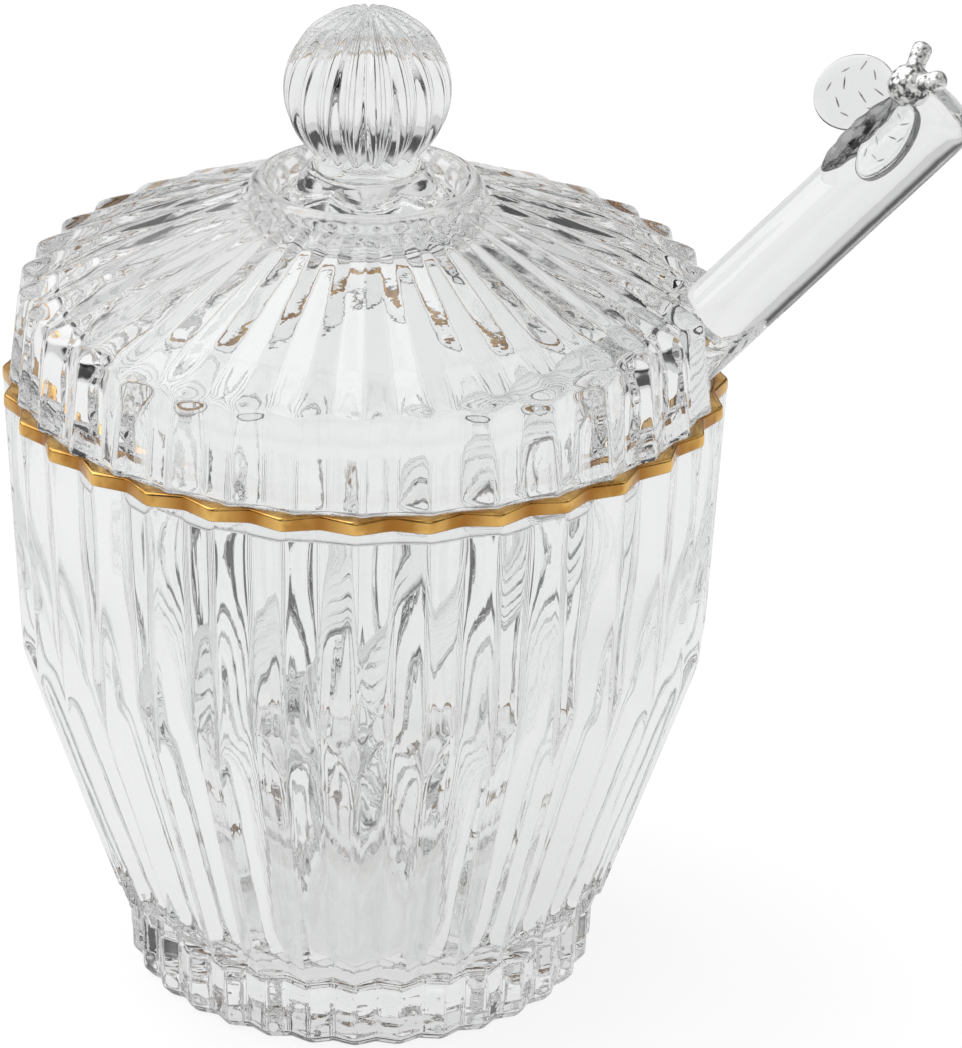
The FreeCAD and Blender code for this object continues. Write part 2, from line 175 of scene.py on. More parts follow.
def noiseNode(nodes, links, place, scale, detail, distortion=0.0):
    node = nodes.new("ShaderNodeTexNoise")
    for name, value in (("Vector", place), ("Scale", scale), ("Detail", detail),
                        ("Distortion", distortion)):
        feed(links, node.inputs[name], value)
    return node.outputs["Fac"]


def bumpNode(nodes, links, height, strength, distance):
    node = nodes.new("ShaderNodeBump")
    for name, value in (("Height", height), ("Strength", strength), ("Distance", distance)):
        feed(links, node.inputs[name], value)
    return node


def makeGlassSkinGroup():
    # unevenness of pressed glass: long slow waves along the piece, fine grain on them,
    # and a faint change of gloss. Across and Along are waves per metre.
    group = bpy.data.node_groups.new("pressedGlassSkin", "ShaderNodeTree")
    face = group.interface
    for name, kind, value in (("Across", "NodeSocketFloat", 120.0),
                              ("Along", "NodeSocketFloat", 25.0),
                              ("Waves", "NodeSocketFloat", 0.3),
                              ("Grain", "NodeSocketFloat", 0.1),
                              ("Roughness", "NodeSocketFloat", 0.01)):
        socket = face.new_socket(name, in_out="INPUT", socket_type=kind)
        socket.default_value = value
    face.new_socket("Normal", in_out="OUTPUT", socket_type="NodeSocketVector")
    face.new_socket("Roughness", in_out="OUTPUT", socket_type="NodeSocketFloat")
    nodes, links = group.nodes, group.links
    given = nodes.new("NodeGroupInput")
    out = nodes.new("NodeGroupOutput")
    place = nodes.new("ShaderNodeTexCoord")
    scale = nodes.new("ShaderNodeCombineXYZ")
    links.new(given.outputs["Across"], scale.inputs["X"])
    links.new(given.outputs["Across"], scale.inputs["Y"])
    links.new(given.outputs["Along"], scale.inputs["Z"])
    stretched = vectorNode(nodes, links, "MULTIPLY", "Vector", place.outputs["Object"],
                           scale.outputs["Vector"])
    slow = noiseNode(nodes, links, stretched, 1.0, 1.0, 0.6)
    fine = noiseNode(nodes, links, stretched, 4.2, 2.0)
    first = bumpNode(nodes, links, slow, given.outputs["Waves"], 0.001)
    second = bumpNode(nodes, links, fine, given.outputs["Grain"], 0.0002)
    links.new(first.outputs["Normal"], second.inputs["Normal"])
    gloss = mathNode(nodes, links, "MULTIPLY", fine, given.outputs["Roughness"])
    links.new(second.outputs["Normal"], out.inputs["Normal"])
    links.new(gloss, out.inputs["Roughness"])
    return group


glassSkin = makeGlassSkinGroup()


def satinBand(nodes, links, values, gloss):
    # rougher above a height and outside a radius about the upright axis, each easing in
    place = nodes.new("ShaderNodeTexCoord")
    split = nodes.new("ShaderNodeSeparateXYZ")
    links.new(place.outputs["Object"], split.inputs["Vector"])
    level = vectorNode(nodes, links, "MULTIPLY", "Vector", place.outputs["Object"], (1, 1, 0))
    reach = vectorNode(nodes, links, "LENGTH", "Value", level)
    above = rangeNode(nodes, links, split.outputs["Z"], values["low"],
                      values["low"] + values["lowEase"], curve="SMOOTHSTEP")
    outside = rangeNode(nodes, links, reach, values["inner"],
                        values["inner"] + values["innerEase"], curve="SMOOTHSTEP")
    share = mathNode(nodes, links, "MULTIPLY", above, outside)
    return mathNode(nodes, links, "MULTIPLY_ADD", share, values["satin"], gloss)


def glassMaterial(name, values):
    material, nodes, links = newMaterial(name)
    out = nodes.new("ShaderNodeOutputMaterial")
    shader = nodes.new("ShaderNodeBsdfPrincipled")
    shader.inputs["Base Color"].default_value = values["tint"] + (1.0,)
    shader.inputs["Transmission Weight"].default_value = 1.0
    shader.inputs["IOR"].default_value = values["ior"]
    skin = nodes.new("ShaderNodeGroup")
    skin.node_tree = glassSkin
    for key in ("Across", "Along", "Waves", "Grain", "Roughness"):
        skin.inputs[key].default_value = values[key.lower()]
    links.new(skin.outputs["Normal"], shader.inputs["Normal"])
    gloss = skin.outputs["Roughness"]
    if "satin" in values:
        gloss = satinBand(nodes, links, values, gloss)
    links.new(gloss, shader.inputs["Roughness"])
    links.new(shader.outputs["BSDF"], out.inputs["Surface"])
    return material


jarSizes = {
    "flutes": 32, "perFlute": 20,
    "rim": 46.0, "top": 80.0, "wallDepth": 1.7,
    "crease": 44.2, "creaseHeight": 45.3, "creaseBlend": 0.35, "taperDepth": 3.1,
    "taper": 32.0, "taperHeight": 9.9,
    "foot": 30.6, "footHeight": 9.2, "footBevel": 1.3, "footDepth": 1.3, "groove": 29.6,
    "mouth": 42.6, "mouthLow": 66.0, "waist": 38.2, "cove": 27.6, "coveHeight": 11.4,
    "floor": 24.4, "floorHeight": 7.2, "pushUp": 0.2, "pushUpEdge": 24.0,
    "lipHeight": 1.3, "insideStep": 1.9, "insideBlur": 5.7,
}


def makeJar(s):
    # outside radius = the lesser of an upright wall's round and a taper's round, both fluted;
    # the underside, lip, cavity and floor are profiles carried round the axis
    turn = wholeTurn(s["flutes"] * s["perFlute"])
    footStar = fluted(turn, s["flutes"], s["footDepth"] / s["foot"], 0.05)
    wallStar = fluted(turn, s["flutes"], s["wallDepth"] / s["rim"], 0.012)
    taperStar = fluted(turn, s["flutes"], s["taperDepth"] / s["crease"], 0.012)
    under = softLine([(2.0, s["pushUp"]), (s["pushUpEdge"], s["pushUp"]),
                      (s["pushUpEdge"] + 2.4, 0.0),
                      (s["foot"] - s["footBevel"] - 0.3, 0.0)], 1.1, 1.6)
    scallop = np.clip((under[:, :1] - s["pushUpEdge"]) / 4.0, 0, 1)
    rings = [ringsAt(under[:, :1] * (1 + scallop * (footStar - 1)), under[:, 1:], turn)]
    foot = softLine([(s["foot"] - s["footBevel"], 0.05), (s["foot"] - 0.2, s["footBevel"]),
                     (s["foot"], s["footHeight"] - 0.4), (s["foot"] - 0.2, s["footHeight"]),
                     (s["groove"], s["footHeight"] + 0.2)], 0.4, 0.4)
    rings.append(ringsAt(foot[:, :1] * footStar, foot[:, 1:], turn))
    # the groove is fluted as well, so it shows as one wavy line
    edge = s["taper"] - 0.6
    neck = softLine([(s["groove"], s["footHeight"] + 0.3),
                     (s["groove"] + 0.5, s["taperHeight"] - 0.3),
                     (edge, s["taperHeight"] + 0.2)], 0.25, 0.3)
    fade = np.clip((neck[:, :1] - s["groove"]) / (edge - s["groove"]), 0, 1)
    rings.append(ringsAt(neck[:, :1] * (footStar + fade * (taperStar - footStar)),
                         neck[:, 1:], turn))
    # close rows where wall and taper may cross, wide ones elsewhere
    low, high = s["creaseHeight"] - 14.1, s["creaseHeight"] + 10.7
    height = np.concatenate([np.linspace(s["taperHeight"] + 0.6, low - 1.2, 12),
                             np.linspace(low, high, 34),
                             np.linspace(high + 1.5, s["top"] + 0.02, 12)])[:, None]
    wallSlope = (s["rim"] - s["crease"]) / (s["top"] - s["creaseHeight"])
    taperSlope = (s["crease"] - s["taper"]) / (s["creaseHeight"] - s["taperHeight"])
    wall = (s["rim"] + wallSlope * (height - s["top"])) * wallStar
    taper = (s["taper"] + taperSlope * (height - s["taperHeight"])) * taperStar
    rings.append(ringsAt(lesser(wall, taper, s["creaseBlend"]), height, turn))
    # the glass runs on up inside the gilding
    lip = s["top"] + s["lipHeight"]
    rings.append(ringsAt(s["rim"] * wallStar - np.array([[0.5], [0.7]]),
                         np.array([[s["top"] + 0.05], [lip]]), turn))
    inside = softLine([(s["mouth"] + 0.7, lip), (s["mouth"] + 0.2, lip - 0.2),
                       (s["mouth"], s["top"] - 0.2), (s["mouth"], s["mouthLow"]),
                       (s["waist"], s["creaseHeight"]), (s["cove"] + 1.9, s["coveHeight"] + 6.0),
                       (s["cove"], s["coveHeight"]), (s["floor"], s["floorHeight"] + 0.7),
                       (0.7 * s["floor"], s["floorHeight"]), (3.0, s["floorHeight"])],
                      s["insideStep"], s["insideBlur"])
    rings.append(ringsAt(inside[:, :1], inside[:, 1:], turn))
    return smoothFaces(skinFromRings("jarGlass", np.concatenate(rings), (0, 0, s["pushUp"]),
                                     (0, 0, s["floorHeight"])))


jar = makeJar(jarSizes)
print("jar:", len(jar.data.polygons), "faces")


giltSizes = {"inner": 43.7, "outer": 46.09, "low": 79.5, "high": 81.4, "depth": 1.7,
             "square": 5.0, "flutes": 32, "perFlute": 20, "around": 28}


def makeGilt(s):
    # a rounded-rectangle section (a superellipse) carried round; its outer side follows the
    # flutes fully, its inner side not at all
    turn = wholeTurn(s["flutes"] * s["perFlute"])
    star = fluted(turn, s["flutes"], s["depth"] / s["outer"], 0.02)
    around = wholeTurn(s["around"])
    power = 2.0 / s["square"]
    across = np.sign(np.cos(around)) * np.abs(np.cos(around)) ** power
    upright = np.sign(np.sin(around)) * np.abs(np.sin(around)) ** power
    share = (0.5 + 0.5 * across)[:, None]
    radius = s["inner"] + share * (s["outer"] * star[None, :] - s["inner"])
    height = 0.5 * (s["low"] + s["high"]) + 0.5 * (s["high"] - s["low"]) * upright[:, None]
    piece = smoothFaces(loopSkin("giltLip", ringsAt(radius, height, turn)), 60.0)
    # 0 on ridges to 1 in valleys, for painted shade that darkens the gilding's colour in the
    # valleys
    valley = np.broadcast_to((1 - star) * s["outer"] / s["depth"], radius.shape)
    piece.data.attributes.new("valley", "FLOAT", "POINT").data.foreach_set("value", valley.ravel())
    return piece


gilt = makeGilt(giltSizes)
print("gilt lip:", len(gilt.data.polygons), "faces")


rodSizes = {
    "radius": 5.2, "lean": 47.4, "turn": -4.0, "seatGap": 0.2, "lipEdge": 43.0, "jarTop": 81.4,
    "drop": 30.87, "overhang": 43.0, "endRound": 2.6,
    "bulb": 7.4, "core": 5.4, "pitch": 4.6, "discs": 4,
}


def rodFrame(s):
    # up the rod along z, the side that faces down along +x, origin on the pot's axis
    lean = math.radians(s["lean"])
    lift = (s["jarTop"] + (s["radius"] + s["seatGap"]) / math.cos(lean)
            - s["lipEdge"] * math.tan(lean))
    return (Matrix.Translation((0, 0, lift)) @ Matrix.Rotation(math.radians(s["turn"]), 4, "Z")
            @ Matrix.Rotation(math.radians(90.0 - s["lean"]), 4, "Y"))


rodPlace = rodFrame(rodSizes)
rodReach = rodSizes["lipEdge"] / math.cos(math.radians(rodSizes["lean"])) + rodSizes["overhang"]


def placed(points, matrix):
    # rows of points carried by a placement
    turned = np.array(matrix.to_3x3())
    return points @ turned.T + np.array(matrix.translation)


lidSizes = {
    "ribs": 34, "perRib": 18, "phase": 91.0, "bottom": 81.45,
    "skirt": 45.1, "skirtDepth": 1.7, "shoulder": 43.8, "shoulderHeight": 93.8,
    "shoulderBlend": 0.9, "roofDepth": 1.9, "roofDeepen": 0.4,
    "roofLobes": 0.6, "lobeRadius": 34.0, "lobeRun": 9.0,
    "skirtLobes": 0.5, "lobeHeight": 88.0, "lobeRise": 6.0,
    "plateau": 15.1, "plateauHeight": 105.9, "ringRadius": 12.9, "ringHigh": 2.0,
    "plate": 11.0, "plateSides": 6, "plateFade": 4.2, "sunk": 1.2,
    "knobFootHeight": 109.7, "neck": 6.8,
    "ball": 10.5, "ballHeight": 119.55, "ballRibs": 18, "ballRibDepth": 1.0,
    "bore": 39.3, "locator": 42.0, "locatorLow": 76.4,
    "ceilingEdge": 91.6, "ceiling": 101.7, "cove": 34.0, "coveHeight": 94.6, "boreTop": 88.4,
    "notch": 5.8, "notchLeg": 34.0, "notchRun": 60.0,
}


def makeLid(s):
    # hollow, locating rim, skirt and roof (the lesser of two ribbed rounds), ring, sunk plate,
    # neck and melon ball: one profile from the hollow's top to the ball's top
    phase = math.radians(s["phase"])
    turn = phase + wholeTurn(s["ribs"] * s["perRib"])
    skirtStar = fluted(turn, s["ribs"], s["skirtDepth"] / s["skirt"], 0.015, phase)
    roofStar = fluted(turn, s["ribs"], s["roofDepth"] / s["shoulder"], 0.02, phase)
    inside = softLine([(3.0, s["ceiling"]), (s["plateau"], s["ceiling"]),
                       (s["cove"], s["coveHeight"]),
                       (s["bore"] - 1.0, s["ceilingEdge"]), (s["bore"], s["boreTop"]),
                       (s["bore"], s["locatorLow"] + 0.2),
                       (s["bore"] + 0.3, s["locatorLow"]), (s["locator"] - 0.3, s["locatorLow"]),
                       (s["locator"], s["locatorLow"] + 0.3), (s["locator"], s["bottom"] - 0.1),
                       (s["locator"] + 0.3, s["bottom"])], 1.15, 1.15)
    rings = [ringsAt(inside[:, :1], inside[:, 1:], turn)]
    edge = np.array([[0.4, 0.0], [0.1, 0.12], [0.0, 0.4]])
    rings.append(ringsAt((s["skirt"] - edge[:, :1]) * skirtStar, s["bottom"] + edge[:, 1:], turn))
    low, high = s["shoulderHeight"] - 1.3, s["shoulderHeight"] + 1.4
    height = np.concatenate([np.linspace(s["bottom"] + 1.2, low - 0.3, 9),
                             np.linspace(low, high, 16),
                             np.linspace(high + 0.5, s["plateauHeight"] - 0.2, 20)])[:, None]
    skirtSlope = (s["skirt"] - s["shoulder"]) / (s["shoulderHeight"] - s["bottom"])
    roofSlope = (s["shoulder"] - s["plateau"]) / (s["plateauHeight"] - s["shoulderHeight"])
    skirt = (s["skirt"] - skirtSlope * (height - s["bottom"])) * skirtStar
    # ribs are crisp by the plateau and round lobes at the shoulder
    lobes = 1 - s["roofDepth"] / s["shoulder"] * (0.5 - 0.5 * np.cos(s["ribs"] * (turn - phase)))
    outward = s["shoulder"] - roofSlope * (height - s["shoulderHeight"])
    fade = s["roofLobes"] * np.clip((outward - s["lobeRadius"]) / s["lobeRun"], 0, 1)
    deeper = 1 + s["roofDeepen"] * (s["shoulder"] / outward - 1)
    roof = outward * (1 + deeper * (roofStar + fade * (lobes - roofStar) - 1))
    fade = s["skirtLobes"] * np.clip((height - s["lobeHeight"]) / s["lobeRise"], 0, 1)
    skirt = skirt * (1 + fade * (lobes / skirtStar - 1))
    rings.append(ringsAt(lesser(skirt, roof, s["shoulderBlend"]), height, turn))
    # over the smooth ring and down its inner side, then the sunk plate's edge, which has
    # six soft corners, and its cone up to the neck
    top = s["plateauHeight"]
    sunk = top - s["sunk"]
    collar = softLine([(s["plateau"] - 0.1, top),
                       (s["ringRadius"] + 1.8, top + 0.6 * s["ringHigh"]),
                       (s["ringRadius"] + 0.7, top + s["ringHigh"]),
                       (s["ringRadius"] - 0.4, top + 0.95 * s["ringHigh"]),
                       (s["ringRadius"] - 1.2, top + 0.3 * s["ringHigh"]),
                       (s["plate"] + 0.35, sunk), (s["plate"] - 0.5, sunk - 0.4)], 0.35, 0.7)
    fade = 1.4 * np.clip((collar[:, :1] - s["plateau"] + 0.5) / 0.5, 0, 1)
    rings.append(ringsAt(collar[:, :1] * (1 + fade * (roofStar - 1)), collar[:, 1:], turn))
    sides = fluted(turn, s["plateSides"], 1 - math.cos(math.pi / s["plateSides"]), 0.03)
    plate = softLine([(s["plate"] - 0.9, sunk - 0.4), (s["plate"], sunk),
                      (s["plate"] - 0.2, sunk + 0.4),
                      (s["neck"] + 0.5, s["knobFootHeight"] - 0.3),
                      (s["neck"], s["knobFootHeight"])], 0.35, 0.35)
    fade = np.clip(1 - np.abs(plate[:, 1:] - sunk) / s["plateFade"], 0, 1)
    rings.append(ringsAt(plate[:, :1] * (1 + fade * (sides - 1)), plate[:, 1:], turn))
    low = math.degrees(math.acos(s["neck"] / s["ball"]))
    ballBottom = s["ballHeight"] - s["ball"] * math.sin(math.radians(low))
    neck = softLine([(s["neck"], s["knobFootHeight"] + 0.3),
                     (s["neck"] - 0.1, s["knobFootHeight"] + 1.1),
                     (s["neck"] + 0.1, ballBottom - 0.1)], 0.4, 0.4)
    rings.append(ringsAt(neck[:, :1], neck[:, 1:], turn))
    # the ball's radius from its centre dips to a narrow valley between convex ribs
    tilt = np.radians(np.concatenate([np.linspace(-low + 2, 60, 30),
                                      np.linspace(63, 87, 9)]))[:, None]
    valley = 1 - np.sqrt(np.cos(0.5 * s["ballRibs"] * turn) ** 2 + 0.0015)
    depth = s["ballRibDepth"] * np.clip(np.cos(tilt), 0, 1) ** 0.6
    reach = s["ball"] - depth * valley
    rings.append(ringsAt(reach * np.cos(tilt), s["ballHeight"] + reach * np.sin(tilt), turn))
    return skinFromRings("lidGlass", np.concatenate(rings), (0, 0, s["ceiling"]),
                         (0, 0, s["ballHeight"] + s["ball"] - 0.05))


def notchTool(s):
    # the rod's section with its play, open downwards: a half round and two straight legs,
    # run out along the rod
    bend = np.radians(np.linspace(90, 270, 33))
    outline = np.concatenate([
        np.stack([s["notch"] * np.cos(bend), s["notch"] * np.sin(bend)], 1),
        [(s["notchLeg"], -s["notch"]), (s["notchLeg"], s["notch"])]])
    start = 0.9 * rodSizes["lipEdge"]
    ends = (start, start + s["notchRun"])
    rings = np.stack([np.column_stack([outline, np.full(len(outline), end)]) for end in ends])
    middle = outline.mean(0)
    poles = placed(np.array([[middle[0], middle[1], end] for end in ends]), rodPlace)
    return skinFromRings("notchTool", placed(rings, rodPlace), *poles)


def cutAway(piece, tool, operation="DIFFERENCE"):
    # one boolean worked out and kept as the piece's own mesh
    cut = piece.modifiers.new("cut", "BOOLEAN")
    cut.operation = operation
    cut.solver = "EXACT"
    cut.object = tool
    depsgraph = bpy.context.evaluated_depsgraph_get()
    mesh = bpy.data.meshes.new_from_object(piece.evaluated_get(depsgraph))
    piece.modifiers.clear()
    old = piece.data
    piece.data = mesh
    mesh.name = piece.name
    bpy.data.meshes.remove(old)
    bpy.data.objects.remove(tool)
    return piece


lid = smoothFaces(cutAway(makeLid(lidSizes), notchTool(lidSizes)))
print("lid:", len(lid.data.polygons), "faces")


def makeRod(s):
    # head of rounded discs and a plain rod with an eased end: one profile round the rod's axis
    turn = wholeTurn(96)
    low = -s["drop"] - s["bulb"]
    corners = [(1.0, low), (0.7 * s["core"], low)]
    middle = 0.5 * (s["discs"] - 1)
    for k in range(s["discs"]):
        wide = s["bulb"] * (1 - 0.22 * ((k - middle) / middle) ** 2)
        base = low + s["pitch"] * k
        corners += [(s["core"], base + 0.15 * s["pitch"]), (wide, base + 0.4 * s["pitch"]),
                    (wide, base + 0.7 * s["pitch"]), (s["core"], base + 0.95 * s["pitch"])]
    corners += [(s["radius"], low + s["pitch"] * (s["discs"] + 0.3))]
    head = softLine(corners, 0.45, 0.55)
    length = np.linspace(head[-1, 1] + 2, rodReach - s["endRound"], 40)
    shaft = np.column_stack([np.full(40, s["radius"]), length])
    bend = np.radians(np.linspace(12, 84, 7))
    end = np.column_stack([s["radius"] - s["endRound"] * (1 - np.cos(bend)),
                           rodReach - s["endRound"] * (1 - np.sin(bend))])
    line = np.concatenate([head, shaft, end, [(1.2, rodReach)]])
    rings = ringsAt(line[:, :1], line[:, 1:], turn)
    poles = placed(np.array([[0, 0, low], [0, 0, rodReach]]), rodPlace)
    return skinFromRings("dipperGlass", placed(rings, rodPlace), *poles)


beeSizes = {
    "wingLength": 11.0, "wingWidth": 9.2, "wingThick": 1.3, "spread": 5.0, "forward": 2.6,
    "raise": 24.0, "roll": 15.0, "sweep": 18.0, "turn": 28.0, "seat": 5.5,
    "belly": 12.5, "bellyWide": 6.6, "bellyBack": 2.4,
    "abdomen": 14.0, "abdomenWide": 1.7, "head": 2.85, "feeler": 1.3, "feelerLength": 4.9,
    "vein": 0.11,
}
beeMiddle = rodReach - beeSizes["head"] - 0.5 * beeSizes["abdomen"]
beeFrame = rodPlace @ Matrix.Rotation(math.radians(180.0 + beeSizes["turn"]), 4, "Z")


def wingPlace(b, side):
    # turned up about the bee's back, swept in its own plane, origin at the wing's middle
    raised = Matrix.Rotation(math.radians(-side * (b["raise"] - side * b["roll"])), 4, "Z")
    offset = raised @ Vector((0, side * b["spread"], 0))
    return (beeFrame @ Matrix.Translation((b["seat"] - 0.25 * b["wingThick"] + offset.x,
                                           offset.y, beeMiddle + b["forward"]))
            @ raised @ Matrix.Rotation(math.radians(side * b["sweep"]), 4, "X"))


def makeWing(name, b, place):
    # a flat oval with a full rounded edge and a low rim: half the thickness is the fourth root
    # of 1 - (distance from the middle over the oval's reach) to the fourth
    turn = wholeTurn(72)
    lift = np.concatenate([np.linspace(0.0, 0.9, 10), np.linspace(0.93, 1.0, 6)])
    reach = np.concatenate([lift[1:], lift[::-1][1:-1]])
    side = np.concatenate([np.full(len(lift) - 1, -1.0), np.full(len(lift) - 2, 1.0)])
    rim = 1 - 0.28 * np.clip((0.84 - reach) / 0.08, 0, 1) * (side > 0)
    half = 0.5 * b["wingThick"] * (1 + side * rim * (1 - reach ** 4) ** 0.25)
    across = reach[:, None] * 0.5 * b["wingWidth"] * np.cos(turn)[None, :]
    along = reach[:, None] * 0.5 * b["wingLength"] * np.sin(turn)[None, :]
    rings = np.stack([np.broadcast_to(half[:, None], across.shape), across, along], -1)
    poles = placed(np.array([[0, 0, 0], [0.86 * b["wingThick"], 0, 0]], float), place)
    return skinFromRings(name, placed(rings, place), *poles)


def makeEgg(name, length, wide, place):
    # an egg about the placement's z: radius is wide times the root of 1 - t squared
    turn = wholeTurn(48)
    t = eggLevels(33, 84)
    rings = ringsAt(0.5 * wide * np.sqrt(1 - t ** 2), 0.5 * length * t, turn)
    poles = placed(np.array([[0, 0, -0.5 * length], [0, 0, 0.5 * length]]), place)
    return skinFromRings(name, placed(rings, place), *poles)


def makeDipper(s, b):
    piece = makeRod(s)
    for side in (-1, 1):
        piece = cutAway(piece, makeWing("wing", b, wingPlace(b, side)), "UNION")
    low = beeFrame @ Matrix.Translation((b["seat"] - 1.7, 0, beeMiddle - b["bellyBack"]))
    piece = cutAway(piece, makeEgg("belly", b["belly"], b["bellyWide"], low), "UNION")
    return smoothFaces(piece)


# etched strokes on the wings: place across and along the wing, turn and length
strokes = [(-2.6, 2.6, 30, 1.5), (-0.9, 3.4, 75, 1.3), (1.2, 3.0, 120, 1.6),
           (-3.0, 0.2, 5, 1.2), (-1.6, -0.6, 60, 1.7), (0.9, 0.8, 100, 1.8),
           (2.6, 1.2, 150, 1.1), (-2.0, -2.6, 35, 1.3), (0.2, -2.4, 85, 1.4),
           (1.9, -2.2, 130, 1.2)]


def makeVeins(b):
    # slim spindles sunk to half their width in the wings' upper faces
    turn = wholeTurn(10)
    t = eggLevels(9, 80)
    points, faces = [], []
    for side in (-1, 1):
        place = wingPlace(b, side)
        for across, along, spin, length in strokes:
            local = (place @ Matrix.Translation((0.87 * b["wingThick"], across, along))
                     @ Matrix.Rotation(math.radians(spin), 4, "X"))
            rings = ringsAt(b["vein"] * (1 - t ** 2) ** 0.5, 0.5 * length * t, turn)
            ends = np.array([[[0, 0, -0.5 * length]] * 10, [[0, 0, 0.5 * length]] * 10])
            rings = placed(np.concatenate([ends[:1], rings, ends[1:]]), local)
            faces.append(gridQuads(*rings.shape[:2]) + sum(len(p) for p in points))
            points.append(rings.reshape(-1, 3))
    piece = newPiece("wingVeins", (np.concatenate(points) * 0.001).tolist(),
                     np.concatenate(faces).tolist())
    piece.data.validate()
    return smoothFaces(piece, 80.0)


dipper = makeDipper(rodSizes, beeSizes)
veins = makeVeins(beeSizes)
print("dipper:", len(dipper.data.polygons), "faces")


def makeBeeBody(b):
    # a long egg with shallow bands: half widths follow the root of 1 - t squared
    turn = wholeTurn(48)
    t = eggLevels(57, 84)
    wide = b["abdomenWide"] * np.sqrt(1 - t ** 2) * (1 + 0.05 * np.sin(16 * t))
    place = beeFrame @ Matrix.Translation((b["seat"] + 0.7, 0, beeMiddle))
    rings = ringsAt(wide, 0.5 * b["abdomen"] * t, turn)
    poles = placed(np.array([[0, 0, -0.5 * b["abdomen"]], [0, 0, 0.5 * b["abdomen"]]]), place)
    return smoothFaces(skinFromRings("beeAbdomen", placed(rings, place), *poles))


def makeBeeHead(b):
    # a ball with uneven hammered dents: small sine waves of three directions on its radius
    along = beeMiddle + 0.5 * b["abdomen"] + 0.55 * b["head"]
    turn = wholeTurn(64)
    tilt = np.radians(np.linspace(-86, 86, 41))[:, None]
    x, y, z = np.cos(tilt) * np.cos(turn), np.cos(tilt) * np.sin(turn), np.sin(tilt) + 0 * turn
    dents = (np.sin(9 * x + 2 * y) * np.sin(8 * y - 3 * z) + 0.6 * np.sin(15 * z + 5 * x)
             + 0.4 * np.sin(21 * y + 6 * z))
    reach = b["head"] * (0.95 + 0.025 * dents)
    rings = np.stack([b["seat"] + 1.1 + reach * x, reach * y, along + reach * z], -1)
    poles = placed(np.array([[b["seat"] + 1.1, 0, along - b["head"] * 0.94],
                             [b["seat"] + 1.1, 0, along + b["head"] * 0.94]]), beeFrame)
    piece = skinFromRings("beeHead", placed(rings, beeFrame), *poles)
    for side in (-1, 1):
        place = (beeFrame @ Matrix.Translation((b["seat"] + 1.3, side * 0.6, along + 0.5))
                 @ Matrix.Rotation(math.radians(side * -38.0), 4, "X"))
        line = softLine([(0.6, 0.0), (0.95 * b["feeler"], 0.4), (0.9 * b["feeler"], 2.6),
                         (b["feeler"], 3.6), (0.9 * b["feeler"], b["feelerLength"] - 0.3),
                         (0.5, b["feelerLength"])], 0.3, 0.4)
        stub = ringsAt(line[:, :1], line[:, 1:], wholeTurn(24))
        ends = placed(np.array([[0, 0, 0], [0, 0, b["feelerLength"]]], float), place)
        piece = cutAway(piece, skinFromRings("feeler", placed(stub, place), *ends), "UNION")
    return smoothFaces(piece, 70.0)


beeBody = makeBeeBody(beeSizes)
beeHead = makeBeeHead(beeSizes)
print("bee:", len(beeBody.data.polygons) + len(beeHead.data.polygons), "faces")


jarFinish = {"tint": (0.965, 0.97, 0.97), "ior": 1.5, "across": 150.0, "along": 14.0,
             "waves": 0.13, "grain": 0.05, "roughness": 0.01}
lidFinish = {"tint": (0.965, 0.97, 0.97), "ior": 1.5, "across": 150.0, "along": 90.0,
             "waves": 0.12, "grain": 0.08, "roughness": 0.01,
             "satin": 0.14, "low": 0.1052, "lowEase": 0.0008,
             "inner": 0.0106, "innerEase": 0.0006}
dipperFinish = {"tint": (0.95, 0.955, 0.955), "ior": 1.5, "across": 120.0, "along": 60.0,
                "waves": 0.12, "grain": 0.1, "roughness": 0.03}
etchedFinish = {"bright": (0.55, 0.55, 0.55), "deep": (0.3, 0.3, 0.3),
                "scale": 900.0, "glossy": 0.4, "rough": 0.6, "dents": 0.3}
giltFinish = {"bright": (0.88, 0.55, 0.17), "deep": (0.55, 0.29, 0.07),
              # valley: painted shade, a darker colour given to the flute valleys
              "valley": (0.36, 0.15, 0.03),
              "scale": 260.0, "glossy": 0.1, "rough": 0.28, "dents": 0.5}
silverFinish = {"bright": (0.97, 0.97, 0.96), "deep": (0.12, 0.12, 0.12),
                "scale": 1300.0, "glossy": 0.35, "rough": 0.6, "dents": 1.0}
smokedFinish = {"tint": (0.42, 0.42, 0.425), "ior": 1.55, "across": 500.0, "along": 200.0,
                "waves": 0.3, "grain": 0.3, "roughness": 0.25}


